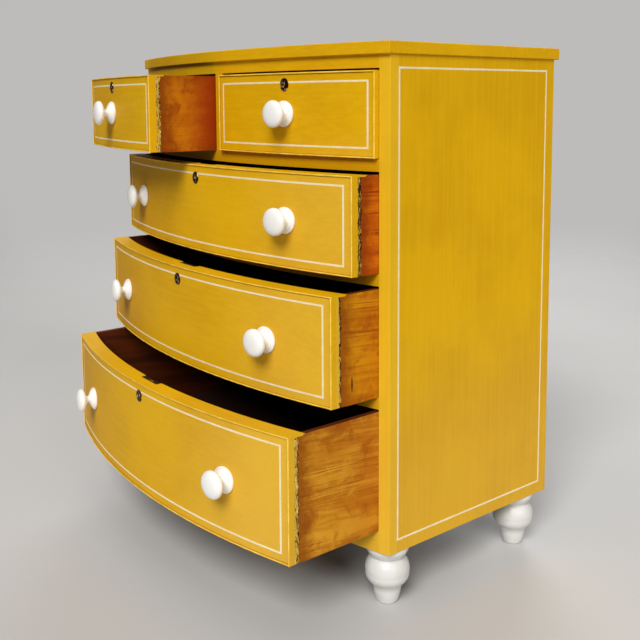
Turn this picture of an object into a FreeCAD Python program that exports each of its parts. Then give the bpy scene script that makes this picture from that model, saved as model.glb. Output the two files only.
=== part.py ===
"""Bow front chest of drawers: two short drawers over three long ones, on turned feet.

Units are millimetres. +Z is up, +X is to the right of someone facing the chest,
and the bowed front looks along -Y. The feet stand on Z = 0.

The drawers are modelled standing open by the values in rest_out. The origin is under
the middle of the box that holds the whole chest with its drawers at those places.

Every bowed surface is part of a cylinder about one upright line, the bow axis, so a
piece that follows the bow is a ring section turned about that line.
"""
import FreeCAD, Part
import math
import os
from FreeCAD import Vector

os.makedirs("parts", exist_ok=True)

# ---------------------------------------------------------------- case sizes
case_width = 920.0            # outside, over the two sides
case_depth = 460.0            # a side, from its front corner to its back edge
bow_rise = 71.0               # how far the middle of the bow stands before the corners
side_thickness = 20.0
stile_width = 22.0            # upright strip on the front edge of each side
stile_depth = 20.0
stile_edge_radius = 1.2
rail_thickness = 23.0         # the three rails between the drawers
rail_back = 60.0              # how far the rails reach behind the corner line
top_rail_height = 24.0
base_rail_height = 41.0
base_rail_thickness = 26.0
short_opening_height = 163.0
long_opening_heights = (187.0, 209.0, 237.0)    # from the top one down
divider_width = 26.0          # upright between the two short drawers
housing_depth = 8.0           # rails are let into the sides by this much
back_thickness = 9.0
back_rebate = 10.0            # how far the back boards lap over each side
back_board_count = 7
back_board_gap = 1.0          # room for the boards to swell
runner_width = 34.0
centre_runner_width = 70.0
guide_height = 28.0
guide_side_gap = 1.0          # the centre guide is this much thinner than the divider

# ---------------------------------------------------------------- top board
top_thickness = 23.0
top_overhang_side = 4.5
top_overhang_front = 8.0
top_overhang_back = 12.0
top_edge_radius = 2.0

# ---------------------------------------------------------------- feet
foot_inset_side = 42.0        # foot axis, in from the outside of the case
foot_inset_front = 34.0
foot_inset_back = 55.0
foot_sole_radius = 18.0       # flat face on the floor
foot_toe_radius = 21.8
foot_toe_rise = 4.2           # each rise is the height of one curve of the turning
foot_toe_swell = 0.9          # each swell is how far that curve stands out from a straight line
foot_leg_radius = 27.6
foot_leg_rise = 25.8
foot_leg_swell = 1.0
foot_cove_radius = 34.2
foot_cove_rise = 10.2
foot_cove_hollow = 0.9
foot_belly_radius = 42.8
foot_belly_rise = 20.5
foot_belly_swell = 2.6
foot_groove_radius = 31.6
foot_shoulder_rise = 31.0
foot_shoulder_swell = 4.4
foot_collar_radius = 41.2
foot_collar_rise = 15.0
foot_collar_swell = 0.8
foot_top_radius = 39.6
foot_top_rise = 9.3
foot_top_swell = 0.9
foot_spigot_radius = 13.0
foot_block_length = 92.0      # corner block, along the side
foot_block_width = 88.0       # corner block, across the case

# ---------------------------------------------------------------- drawer boxes
drawer_side_gap = 1.5         # between a drawer and the upright beside it
drawer_top_gap = 4.0
drawer_bottom_gap = 1.0       # under the drawer front
runner_gap = 0.3              # under the drawer sides
drawer_back_gap = 12.0        # behind a closed drawer, to the back boards
front_thickness = 33.0
front_lap = 12.0              # wood left in front of the dovetails
bead_thickness = 3.0
bead_projection = 2.5
bead_depth = 10.0             # how deep the end and lower beads are let in
drawer_side_thickness = 12.0
drawer_side_drop = 1.0        # the sides stand this much lower than the front
drawer_back_thickness = 10.0
drawer_back_drop = 10.0
bottom_thickness = 7.0
bottom_rise = 8.0             # from the lower edge of a side up to the bottom board
groove_depth = 5.0
tail_pitch = 42.0             # a drawer corner gets as many dovetails as fit at this pitch
pin_width = 4.5               # at the narrow end
dovetail_slope = 1.0 / 6.0
end_pin_extra = 2.0           # the lowest pin of a drawer front is this much taller

# ---------------------------------------------------------------- drawer fittings
knob_offset = 285.0           # knobs of a long drawer, from the middle
knob_seat_radius = 23.8       # flat face against the drawer front
knob_base_radius = 23.9
knob_base_rise = 5.6          # rises and swells as on the foot
knob_base_swell = 1.5
knob_bell_radius = 9.6
knob_bell_rise = 8.2
knob_bell_swell = 1.1
knob_neck_radius = 8.7
knob_neck_rise = 2.8
knob_neck_hollow = 0.5
knob_flare_radius = 10.0
knob_flare_rise = 5.3
knob_flare_hollow = 0.9
knob_head_radius = 26.5
knob_head_rise = 9.3
knob_head_swell = 2.9
knob_shoulder_radius = 20.5
knob_shoulder_rise = 7.8
knob_shoulder_swell = 1.5
knob_dome_rise = 3.5
knob_spigot_radius = 8.0
knob_spigot_short = 1.0       # the spigot stops this far before the inner face
escutcheon_height = 24.5
escutcheon_width = 20.0
escutcheon_thickness = 1.8
escutcheon_rim = 0.7
short_escutcheon_drop = 23.0  # centre of the escutcheon below the top of the front
long_escutcheon_drop = 28.0
keyhole_radius = 2.6
keyhole_slot_width = 3.0
keyhole_slot_length = 8.0
lock_width = 70.0
lock_height = 50.0
lock_depth = 12.0
lock_plate = 2.0
lock_case_width = 56.0
lock_case_height = 38.0
lock_case_step = 1.0          # the lock case stands back from the edge of the top plate
lock_sink = 1.2               # top plate below the top edge of the front
bolt_width = 20.0
bolt_thickness = 5.0
bolt_height = 22.0
bolt_clearance = 0.3
bolt_throw = 10.0
bolt_setback = 3.0            # bolt in front of the inner face of the lock plate
bolt_room = 2.0               # of the channel under the drawn bolt
mortise_clearance = 1.5       # round the thrown bolt
stop_length = 26.0
stop_width = 16.0
stop_height = 5.0
stop_clearance = 0.3
stop_inset = 90.0             # middle of a stop from the end of its opening

# ---------------------------------------------------------------- where the drawers stand
rest_out = {
    "short_drawer_left": 156.0,
    "short_drawer_right": 8.0,
    "long_drawer_1": 61.0,
    "long_drawer_2": 109.0,
    "long_drawer_3": 204.0,
}

cut_past = 1.0                # cutters run this far past the wood they cut

# ---------------------------------------------------------------- worked out from the above
half_width = case_width / 2.0
bow_radius = (half_width ** 2 + bow_rise ** 2) / (2.0 * bow_rise)
bow_axis_y = bow_radius - bow_rise
side_inner = half_width - side_thickness
opening_half = half_width - stile_width
foot_curves = [               # radius reached, rise and swell of each curve, from the floor up
    (foot_toe_radius, foot_toe_rise, foot_toe_swell),
    (foot_leg_radius, foot_leg_rise, foot_leg_swell),
    (foot_cove_radius, foot_cove_rise, -foot_cove_hollow),
    (foot_belly_radius, foot_belly_rise, foot_belly_swell),
    (foot_groove_radius, foot_shoulder_rise, foot_shoulder_swell),
    (foot_collar_radius, foot_collar_rise, foot_collar_swell),
    (foot_top_radius, foot_top_rise, foot_top_swell),
]
knob_curves = [               # the same of a knob, from the drawer front outwards
    (knob_base_radius, knob_base_rise, knob_base_swell),
    (knob_bell_radius, knob_bell_rise, knob_bell_swell),
    (knob_neck_radius, knob_neck_rise, -knob_neck_hollow),
    (knob_flare_radius, knob_flare_rise, -knob_flare_hollow),
    (knob_head_radius, knob_head_rise, knob_head_swell),
    (knob_shoulder_radius, knob_shoulder_rise, knob_shoulder_swell),
]
foot_height = sum(rise for _, rise, _ in foot_curves)
knob_length = sum(rise for _, rise, _ in knob_curves) + knob_dome_rise
case_bottom = foot_height
base_top = case_bottom + base_rail_height
divider_half = divider_width / 2.0
back_front_face = case_depth - back_thickness
foot_block_height = base_rail_height - rail_thickness
case_height = (base_rail_height + sum(long_opening_heights) + 3 * rail_thickness
               + short_opening_height + top_rail_height)
case_top = case_bottom + case_height
mortise_depth = bolt_throw - lock_sink - drawer_top_gap + mortise_clearance


def bow_y(x, radius=bow_radius):
    """Y of the cylinder of this radius about the bow axis, at x."""
    return bow_axis_y - math.sqrt(radius ** 2 - x ** 2)


def block(x1, x2, y1, y2, z1, z2):
    """Box between two corners."""
    return Part.makeBox(x2 - x1, y2 - y1, z2 - z1, Vector(x1, y1, z1))


def disc(radius, z1, z2):
    """Full disc about the bow axis."""
    return Part.makeCylinder(radius, z2 - z1, Vector(0, bow_axis_y, z1))


def bowed(x1, x2, radius, y_back, z1, z2):
    """Board whose front edge is the cylinder and whose back edge is straight."""
    y_front = bow_axis_y - radius - cut_past
    return block(x1, x2, y_front, y_back, z1, z2).common(disc(radius, z1, z2))


def ring(x1, x2, r_inner, r_outer, z1, z2):
    """Curved board between two cylinders about the bow axis, cut square at x1 and x2."""
    y_back = max(bow_y(x1, r_inner), bow_y(x2, r_inner)) + cut_past
    hollow = disc(r_inner, z1 - cut_past, z2 + cut_past)
    return bowed(x1, x2, r_outer, y_back, z1, z2).cut(hollow)


def round_upright(shape, x, y, radius):
    """Round the upright edge that stands at x, y."""
    edges = [e for e in shape.Edges
             if all(abs(v.X - x) < 0.01 and abs(v.Y - y) < 0.01 for v in e.Vertexes)
             and len(e.Vertexes) == 2]
    return shape.makeFillet(radius, edges)


def swell(start, end, height):
    """Middle place of an arc that stands out from the line between two (radius, z) places."""
    across, up = end[0] - start[0], end[1] - start[1]
    length = math.hypot(across, up)
    return ((start[0] + end[0]) / 2.0 + height * up / length,
            (start[1] + end[1]) / 2.0 - height * across / length)


def turned(points):
    """Solid of revolution about Z. Each point is (radius, z) after a straight line,
    or (radius, z, swell) after an arc."""
    edges = []
    for start, end in zip(points, points[1:]):
        a, b = Vector(start[0], 0, start[1]), Vector(end[0], 0, end[1])
        if len(end) == 2:
            edges.append(Part.makeLine(a, b))
        else:
            r, z = swell(start, end, end[2])
            edges.append(Part.Arc(a, Vector(r, 0, z), b).toShape())
    first, last = points[0], points[-1]
    edges.append(Part.makeLine(Vector(last[0], 0, last[1]), Vector(first[0], 0, first[1])))
    face = Part.Face(Part.Wire(edges))
    return face.revolve(Vector(0, 0, 0), Vector(0, 0, 1), 360)


def stacked(curves):
    """Points for turned() from (radius, rise, swell) curves that start at height 0."""
    points = []
    height = 0.0
    for radius, rise, stand_out in curves:
        height += rise
        points.append((radius, height, stand_out))
    return points


def dome_ball(edge_radius, rise):
    """Radius of the ball that a dome with this edge and rise is cut from."""
    return (edge_radius ** 2 + rise ** 2) / (2.0 * rise)


def dome_swell(edge_radius, rise):
    """Swell of the arc from a dome's edge to its top, for a ball centred on the axis."""
    ball = dome_ball(edge_radius, rise)
    return ball - math.sqrt(ball ** 2 - (edge_radius ** 2 + rise ** 2) / 4.0)


def on_bow(shape, x):
    """Turn a shape made at the middle of the bow to the place on the bow at x."""
    angle = math.degrees(math.asin(x / bow_radius))
    placed = shape.copy()
    placed.rotate(Vector(0, bow_axis_y, 0), Vector(0, 0, 1), angle)
    return placed


nodes = {}                    # node name: list of shapes, in construction coordinates
outs = {}                     # node name: how far its drawer stands open


def add(name, shapes, out=0.0):
    nodes[name] = shapes if isinstance(shapes, list) else [shapes]
    outs[name] = out


# ---------------------------------------------------------------- openings and drawers
def drawer_table():
    """Each drawer: name, x range and z range of its opening, knob places, escutcheon drop."""
    rows = []
    z = case_top - top_rail_height
    low = z - short_opening_height
    for name, x1, x2 in (("short_drawer_left", -opening_half, -divider_half),
                         ("short_drawer_right", divider_half, opening_half)):
        middle = (x1 + x2) / 2.0
        rows.append((name, x1, x2, low, z, [middle], middle, short_escutcheon_drop))
    for number, height in enumerate(long_opening_heights, start=1):
        z = low - rail_thickness
        low = z - height
        rows.append(("long_drawer_%d" % number, -opening_half, opening_half, low, z,
                     [-knob_offset, knob_offset], 0.0, long_escutcheon_drop))
    return rows


drawers = drawer_table()
rail_tops = [drawers[0][3], drawers[2][3], drawers[3][3]]     # under short, long 1, long 2


# ---------------------------------------------------------------- drawer fittings
def knob(x, z):
    """Turned knob: bell shaped base, thin neck and bun shaped head, with a spigot that goes
    through the drawer front."""
    spigot_end = -(front_thickness - knob_spigot_short)
    spigot = [(0, spigot_end), (knob_spigot_radius, spigot_end), (knob_spigot_radius, 0)]
    dome = (0, knob_length, dome_swell(knob_shoulder_radius, knob_dome_rise))
    shape = turned(spigot + [(knob_seat_radius, 0)] + stacked(knob_curves) + [dome])
    shape.rotate(Vector(0, 0, 0), Vector(1, 0, 0), 90)
    shape.translate(Vector(0, bow_axis_y - bow_radius, z))
    return on_bow(shape, x)


def keyhole(y1, y2, z):
    """Keyhole cutter about z, between y1 and y2, round at the top with a slot below."""
    top = z + keyhole_slot_length / 3.0
    hole = Part.makeCylinder(keyhole_radius, y2 - y1, Vector(0, y1, top), Vector(0, 1, 0))
    slot = block(-keyhole_slot_width / 2.0, keyhole_slot_width / 2.0, y1, y2,
                 top - keyhole_slot_length, top)
    return hole.fuse(slot)


def escutcheon(x, z):
    """Oval plate with a softened rim and a keyhole, flat against the bow at x."""
    face_y = bow_axis_y - bow_radius
    tall = Part.Ellipse(Vector(0, 0, 0), escutcheon_height / 2.0, escutcheon_width / 2.0)
    plate = Part.Face(Part.Wire([tall.toShape()]))
    plate = plate.extrude(Vector(0, 0, escutcheon_thickness))
    rim = [e for e in plate.Edges if e.BoundBox.ZMin > escutcheon_thickness / 2.0]
    plate = plate.makeChamfer(escutcheon_rim, rim)
    plate.rotate(Vector(0, 0, 0), Vector(0, 0, 1), 90)
    plate.rotate(Vector(0, 0, 0), Vector(1, 0, 0), 90)
    plate.translate(Vector(0, face_y, z))
    hole = keyhole(face_y - escutcheon_thickness - cut_past, face_y + cut_past, z)
    return on_bow(plate.cut(hole), x)


def lock_frame(z_top):
    """Inner face and top level of a lock, at the middle of the bow."""
    return bow_axis_y - (bow_radius - front_thickness), z_top - lock_sink


def bolt_box(z_top, grow, z1, z2):
    """Upright box about the bolt's path, grown by a clearance."""
    inner, top = lock_frame(z_top)
    half = bolt_width / 2.0 + grow
    return block(-half, half, inner - bolt_setback - bolt_thickness - grow,
                 inner - bolt_setback + grow, top + z1, top + z2)


def lock(x, z_top):
    """Drawer lock: back plate, top plate and case, with a channel for the bolt."""
    inner, top = lock_frame(z_top)
    half = lock_width / 2.0
    case_half = lock_case_width / 2.0
    low = z_top - lock_height
    plate = block(-half, half, inner - lock_plate, inner, low, top)
    top_plate = block(-half, half, inner - lock_depth, inner, top - lock_plate, top)
    case = block(-case_half, case_half, inner - lock_depth + lock_case_step, inner,
                 top - lock_case_height, top)
    channel = bolt_box(z_top, bolt_clearance, -bolt_height - bolt_room, cut_past)
    return on_bow(plate.fuse([top_plate, case]).cut(channel).removeSplitter(), x)


def lock_bolt(x, z_top):
    """Bolt, drawn down level with the top plate."""
    return on_bow(bolt_box(z_top, 0.0, -bolt_height, 0.0), x)


def lock_pocket(x, z_top):
    """Recess for a lock in the back and top of a drawer front."""
    inner = lock_frame(z_top)[0]
    half = lock_width / 2.0
    return on_bow(block(-half, half, inner - lock_depth, inner + lock_depth,
                        z_top - lock_height, z_top + cut_past), x)


def bolt_mortise(x, z_top, rail_under):
    """Pocket in the underside of the rail above, where the thrown bolt goes."""
    inner = lock_frame(z_top)[0]
    half = bolt_width / 2.0 + mortise_clearance
    return on_bow(block(-half, half, inner - bolt_setback - bolt_thickness - mortise_clearance,
                        inner - bolt_setback + mortise_clearance,
                        rail_under - cut_past, rail_under + mortise_depth), x)


# ---------------------------------------------------------------- dovetails
def pin_gaps(x1, x2, y_end, y_root, z1, z2, over, under):
    """Cutters for the gaps between the tails of a drawer side. The gaps are narrow at the
    tails' ends (y_end) and wider at their roots (y_root). The end gaps run on by over
    and under."""
    length = abs(y_root - y_end)
    count = max(2, int((z2 - z1) // tail_pitch))
    pitch = (z2 - z1 - pin_width) / count
    gaps = []
    for number in range(count + 1):
        middle = z1 + pin_width / 2.0 + number * pitch
        low = middle - pin_width / 2.0
        high = middle + pin_width / 2.0
        low_root = low - length * dovetail_slope
        high_root = high + length * dovetail_slope
        if number == 0:
            low = low_root = z1 - under
        if number == count:
            high = high_root = z2 + over
        corners = [Vector(x1, y_end, low), Vector(x1, y_root, low_root),
                   Vector(x1, y_root, high_root), Vector(x1, y_end, high)]
        face = Part.Face(Part.makePolygon(corners + corners[:1]))
        face.translate(Vector(-cut_past, 0, 0))
        gaps.append(face.extrude(Vector(x2 - x1 + 2.0 * cut_past, 0, 0)))
    return gaps


# ---------------------------------------------------------------- one drawer
def make_beads(x1, x2, z1, z2):
    """Four cock beads with rounded noses: the top one covers the whole top edge."""
    r_nose = bow_radius + bead_projection
    r_low = bow_radius - bead_depth
    t = bead_thickness
    top = ring(x1, x2, bow_radius - front_thickness, r_nose, z2 - t, z2)
    bottom = ring(x1 + t, x2 - t, r_low, r_nose, z1, z1 + t)
    left = ring(x1, x1 + t, r_low, r_nose, z1, z2 - t)
    right = ring(x2 - t, x2, r_low, r_nose, z1, z2 - t)
    beads = []
    for bead in (top, bottom, left, right):
        middle = Vector(0, bow_axis_y, 0)
        nose = [e for e in bead.Edges if all(
            abs(Vector(v.X, v.Y, 0).distanceToPoint(middle) - r_nose) < 0.01
            for v in e.Vertexes)]
        tall = bead.BoundBox.ZLength > 2 * t
        nose = [e for e in nose if (e.BoundBox.ZLength > 2 * t) == tall]
        beads.append(bead.makeFillet(0.45 * t, nose))
    return beads


def make_drawer(name, x1, x2, z1, z2, knob_places, lock_x, escutcheon_drop):
    out = rest_out[name]
    left, right = x1 + drawer_side_gap, x2 - drawer_side_gap
    low, high = z1 + drawer_bottom_gap, z2 - drawer_top_gap
    box_low, box_high = z1 + runner_gap, high - drawer_side_drop
    rear = back_front_face - drawer_back_gap
    r_inner = bow_radius - front_thickness
    t = drawer_side_thickness
    bottom_z = box_low + bottom_rise
    bottom_top = bottom_z + bottom_thickness
    back_high = box_high - drawer_back_drop

    # bottom board, let into the front and the sides, running out under the back
    bottom = bowed(left + t - groove_depth, right - t + groove_depth, r_inner + groove_depth,
                   rear, bottom_z, bottom_top)

    # sides, dovetailed at both ends
    sides = []
    for sx1, sx2 in ((left, left + t), (right - t, right)):
        outer = sx1 if abs(sx1) > abs(sx2) else sx2
        inner = sx2 if abs(sx1) > abs(sx2) else sx1
        y_end = bow_y(outer) + front_lap
        y_root = bow_y(inner, r_inner)
        side = block(sx1, sx2, y_end, rear, box_low, box_high)
        gaps = pin_gaps(sx1, sx2, y_end, y_root, box_low + end_pin_extra,
                        box_high - bead_thickness, bead_thickness + cut_past,
                        end_pin_extra + cut_past)
        gaps += pin_gaps(sx1, sx2, rear, rear - drawer_back_thickness, bottom_top,
                         back_high, 0.0, 0.0)
        sides.append(side.cut(gaps).cut(bottom))

    # back board between the sides, with its pins through their gaps
    back = block(left, right, rear - drawer_back_thickness, rear, bottom_top, back_high)
    back = back.cut(sides)

    # front with its beads, dovetail sockets, groove, lock pocket, key hole and knob holes
    pocket = lock_pocket(lock_x, high)
    beads = make_beads(left, right, low, high)
    knobs = [knob(x, (low + high) / 2.0) for x in knob_places]
    key_z = high - escutcheon_drop
    face_y = bow_axis_y - bow_radius
    key = on_bow(keyhole(face_y - cut_past, face_y + front_thickness - lock_depth + cut_past,
                         key_z), lock_x)
    front = ring(left, right, r_inner, bow_radius, low, high)
    front = front.cut(beads + sides + [bottom, pocket, key] + knobs)
    beads[0] = beads[0].cut([pocket] + sides)

    add(name + "_front", front, out)
    add(name + "_cock_bead", beads, out)
    add(name + "_sides", sides, out)
    add(name + "_back", back, out)
    add(name + "_bottom", bottom, out)
    add(name + "_knobs" if len(knobs) > 1 else name + "_knob", knobs, out)
    add(name + "_escutcheon", escutcheon(lock_x, key_z), out)
    if name == "short_drawer_right":
        add(name + "_lock", [lock(lock_x, high), lock_bolt(lock_x, high)], out)
    else:
        add(name + "_lock", lock(lock_x, high), out)
        add(name + "_lock_bolt", lock_bolt(lock_x, high), out)
    return bolt_mortise(lock_x, high, z2)


mortises = [make_drawer(*row) for row in drawers]


# ---------------------------------------------------------------- rails
def make_rail(z1, z2, cutters):
    """Bowed rail between the stiles, wider behind them where the sides house it."""
    front = bowed(-opening_half, opening_half, bow_radius, rail_back, z1, z2)
    house = side_inner + housing_depth
    ends = block(-house, house, stile_depth, rail_back, z1, z2)
    rail = front.fuse(ends).removeSplitter()
    return rail.cut(cutters) if cutters else rail


add("top_rail", make_rail(case_top - top_rail_height, case_top, mortises[:2]))
for number, top in enumerate(rail_tops, start=1):
    add("drawer_rail_%d" % number, make_rail(top - rail_thickness, top, [mortises[number + 1]]))

base_rail = ring(-opening_half, opening_half, bow_radius - base_rail_thickness, bow_radius,
                 case_bottom, base_top)
add("base_rail", base_rail)

short_low, short_high = drawers[0][3], drawers[0][4]
add("drawer_divider", bowed(-divider_half, divider_half, bow_radius, rail_back,
                            short_low, short_high))

# ---------------------------------------------------------------- sides and stiles
rail_solids = [nodes[name][0] for name in ("top_rail", "drawer_rail_1", "drawer_rail_2",
                                           "drawer_rail_3")]
stiles = []
for side, name in ((-1, "side_left"), (1, "side_right")):
    outer, inner = side * half_width, side * side_inner
    x1, x2 = min(outer, inner), max(outer, inner)
    panel = block(x1, x2, stile_depth, case_depth, case_bottom, case_top)
    lap = inner + side * back_rebate
    rebate = block(min(inner, lap), max(inner, lap), back_front_face, case_depth,
                   case_bottom, case_top)
    add(name, panel.cut(rail_solids + [rebate]))
    edge = side * opening_half
    stile = bowed(min(outer, edge), max(outer, edge), bow_radius, stile_depth,
                  case_bottom, case_top)
    stiles.append(round_upright(stile, outer, bow_y(outer), stile_edge_radius))
add("stiles", stiles)

# ---------------------------------------------------------------- runners and guide
runners = []
behind_base_rail = max(stile_depth, bow_y(opening_half, bow_radius - base_rail_thickness))
for top in rail_tops + [base_top]:
    front = rail_back if top != base_top else behind_base_rail
    for x1, x2 in ((-side_inner, -side_inner + runner_width),
                   (side_inner - runner_width, side_inner)):
        runners.append(block(x1, x2, front, back_front_face, top - rail_thickness, top))
for x1, x2 in ((-side_inner, -side_inner + runner_width),
               (-centre_runner_width / 2.0, centre_runner_width / 2.0),
               (side_inner - runner_width, side_inner)):
    runners.append(block(x1, x2, rail_back, back_front_face, case_top - top_rail_height,
                         case_top))
runners.append(block(-centre_runner_width / 2.0, centre_runner_width / 2.0, rail_back,
                     back_front_face, short_low - rail_thickness, short_low))
add("runners", runners)

guide_half = divider_half - guide_side_gap
add("centre_guide", block(-guide_half, guide_half, rail_back, back_front_face,
                          short_low, short_low + guide_height))

# ---------------------------------------------------------------- drawer stops
stops = []
for name, x1, x2, z1, z2, knob_places, lock_x, drop in drawers:
    for middle in (x1 + stop_inset, x2 - stop_inset):
        far = abs(middle) + stop_length / 2.0
        y = bow_y(far, bow_radius - front_thickness) + stop_clearance
        left, right = middle - stop_length / 2.0, middle + stop_length / 2.0
        stop = block(left, right, y, y + stop_width, z1, z1 + stop_height)
        if name == drawers[-1][0]:    # these are glued to the back of the thin base rail
            stop = stop.fuse(bowed(left, right, bow_radius - base_rail_thickness,
                                   y + stop_width, z1 - rail_thickness, z1)).removeSplitter()
        stops.append(stop)
add("drawer_stops", stops)

# ---------------------------------------------------------------- back boards
back_half = side_inner + back_rebate
board_pitch = 2.0 * back_half / back_board_count
back_boards = []
for number in range(back_board_count):
    x = -back_half + number * board_pitch
    gap = back_board_gap if number < back_board_count - 1 else 0.0
    back_boards.append(block(x, x + board_pitch - gap, back_front_face, case_depth,
                             case_bottom, case_top))
add("back_boards", back_boards)

# ---------------------------------------------------------------- top board
top_half = half_width + top_overhang_side
top_board = bowed(-top_half, top_half, bow_radius + top_overhang_front,
                  case_depth + top_overhang_back, case_top, case_top + top_thickness)
top_board = top_board.makeFillet(top_edge_radius, top_board.Edges)
add("top_board", top_board)


# ---------------------------------------------------------------- feet and corner blocks
def foot(x, y):
    """Turned foot: collar, groove, belly and tapered leg, with a spigot on top."""
    spigot_end = foot_height + foot_block_height
    spigot = [(foot_spigot_radius, foot_height), (foot_spigot_radius, spigot_end), (0, spigot_end)]
    shape = turned([(0, 0), (foot_sole_radius, 0)] + stacked(foot_curves) + spigot)
    shape.translate(Vector(x, y, 0))
    return shape


feet = []
foot_blocks = []
for side in (-1, 1):
    x = side * (half_width - foot_inset_side)
    for y, y1, y2 in ((foot_inset_front, bow_y(0), foot_block_length),
                      (case_depth - foot_inset_back, back_front_face - foot_block_length,
                       back_front_face)):
        leg = foot(x, y)
        feet.append(leg)
        inner = side * (side_inner - foot_block_width)
        corner = block(min(inner, side * side_inner), max(inner, side * side_inner), y1, y2,
                       case_bottom, case_bottom + foot_block_height)
        rim = disc(bow_radius - base_rail_thickness, case_bottom, case_bottom + foot_block_height)
        foot_blocks.append(corner.common(rim).cut(stiles + [leg]))
add("feet", feet)
add("foot_blocks", foot_blocks)

# ---------------------------------------------------------------- origin and export
dome_radius = dome_ball(knob_shoulder_radius, knob_dome_rise)
dome_reach = bow_radius + knob_length - dome_radius           # from the bow axis to a dome's centre
knob_tip = min(bow_axis_y - dome_reach * math.cos(math.asin(x / bow_radius)) - dome_radius
               - rest_out[row[0]] for row in drawers for x in row[5])
bow_front = min(bow_y(0) - bead_projection - rest_out[row[0]] for row in drawers[2:])
front_most = min(knob_tip, bow_front, bow_y(0) - top_overhang_front)
origin_y = (front_most + case_depth + top_overhang_back) / 2.0

print("case height", case_height, "whole height", case_top + top_thickness)
print("bow radius", round(bow_radius, 3), "origin behind the corner line", round(origin_y, 3))
for name, shapes in nodes.items():
    group = Part.makeCompound([s for shape in shapes for s in shape.Solids])
    group.translate(Vector(0, -outs[name] - origin_y, 0))
    if not group.isValid():
        print("not valid:", name)
    target = group.Solids[0] if len(group.Solids) == 1 else group
    target.exportStep("parts/%s.step" % name)
print(len(nodes), "nodes")
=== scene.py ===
# %% [markdown]
# # Dressing a bow front chest of drawers
#
# The imported chest comes with every board, rail, runner and lock in its place, so most of it
# needs paint and grain rather than new shapes. What the solids can't show is added here: the
# cream pinstripes, the turned knobs and feet with their fine edges, and the small domed
# keyhole plates. Everything is in metres and in the chest's own frame: +Z up, the bow looks
# along -Y.

import math

import bpy
import numpy as np
from mathutils import Matrix, Vector


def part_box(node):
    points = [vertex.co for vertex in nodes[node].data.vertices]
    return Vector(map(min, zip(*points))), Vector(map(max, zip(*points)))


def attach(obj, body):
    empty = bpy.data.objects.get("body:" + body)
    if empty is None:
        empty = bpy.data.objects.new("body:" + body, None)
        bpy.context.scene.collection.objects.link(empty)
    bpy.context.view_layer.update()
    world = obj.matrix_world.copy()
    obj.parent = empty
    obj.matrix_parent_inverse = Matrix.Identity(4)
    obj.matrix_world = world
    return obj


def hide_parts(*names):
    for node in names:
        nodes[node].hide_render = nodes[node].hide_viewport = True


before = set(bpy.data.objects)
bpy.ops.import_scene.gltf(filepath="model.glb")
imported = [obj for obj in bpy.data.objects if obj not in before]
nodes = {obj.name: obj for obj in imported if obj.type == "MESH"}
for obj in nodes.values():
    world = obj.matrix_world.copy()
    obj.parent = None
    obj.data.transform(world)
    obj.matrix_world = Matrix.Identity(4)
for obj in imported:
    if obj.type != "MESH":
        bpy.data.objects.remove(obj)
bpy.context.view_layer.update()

# %% [markdown]
# ## The bow
#
# Every curved face of the front is part of one tall cylinder. A board that follows the bow
# could be bent by hand, but a formula for the cylinder is shorter and lands every stripe,
# knob and plate exactly on the wood. Its radius follows from the half width of the case and
# from how far the middle of the bow stands before the corners.

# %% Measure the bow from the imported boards
half_width = 0.460
case_depth = 0.460
bow_rise = 0.071
bow_radius = (half_width ** 2 + bow_rise ** 2) / (2 * bow_rise)
case_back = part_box("side_right")[1].y
corner_y = case_back - case_depth
bow_axis_y = corner_y + bow_radius - bow_rise


def bow_y(x, radius=bow_radius):
    """Y of the bow at x: the axis less the root of radius squared minus x squared."""
    return bow_axis_y - np.sqrt(radius ** 2 - np.asarray(x, float) ** 2)


print("the bow's radius is", round(bow_radius, 4), "and its axis stands at y", round(bow_axis_y, 4))

# %% Measure how far each drawer stands open
def middle_and_half(ends):
    """The middle of two ends is half their sum, and half their distance is half the difference."""
    return (ends[0] + ends[1]) / 2, (ends[1] - ends[0]) / 2


drawers = {}
short_names = ("short_drawer_left", "short_drawer_right")
long_names = ("long_drawer_1", "long_drawer_2", "long_drawer_3")
for name in short_names + long_names:
    low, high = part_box(name + "_front")
    bead_low, bead_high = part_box(name + "_cock_bead")
    nearest = 0.0 if low.x < 0 < high.x else min(abs(low.x), abs(high.x))
    drawers[name] = {
        "x": (bead_low.x, bead_high.x), "z": (bead_low.z, bead_high.z),
        "long": name in long_names, "out": float(bow_y(nearest)) - low.y}
    print(name, "stands", round(1000 * drawers[name]["out"], 1), "mm open")

# %% [markdown]
# ## Making a piece
#
# A new piece is a sheet of points in rows and columns, made by one formula on whole arrays.
# The faces between them only depend on how many rows and columns there are, and on which of
# the two directions closes on itself. A closed shell whose signed volume comes out negative
# has its faces inside out, so those are turned round before the mesh is made. Each piece says
# which body it rides on and which plain solid it stands for.

# %% Grids of faces
def grid_faces(rows, columns, close_rows=False, close_columns=False):
    """Quads over a grid of points, each from a point to its neighbours right and up."""
    row = np.arange(rows if close_rows else rows - 1)[:, None]
    column = np.arange(columns if close_columns else columns - 1)[None, :]
    right, up = (column + 1) % columns, (row + 1) % rows
    corners = [row * columns + column, row * columns + right, up * columns + right, up * columns + column]
    return np.stack(corners, -1).reshape(-1, 4)


print("4 by 6 points have", len(grid_faces(4, 6)), "faces, closed", len(grid_faces(4, 6, True, True)))

# %% Which way the faces look
def signed_volume(points, faces):
    """Sum over the triangles of each face of a sixth of a . (b x c), the wedge between the
    triangle and the origin. It is negative where the faces look inwards."""
    total = 0.0
    for group in faces:
        for k in range(1, group.shape[1] - 1):
            a, b, c = points[group[:, 0]], points[group[:, k]], points[group[:, k + 1]]
            total += np.einsum("ij,ij->i", a, np.cross(b, c)).sum() / 6
    return total


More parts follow.
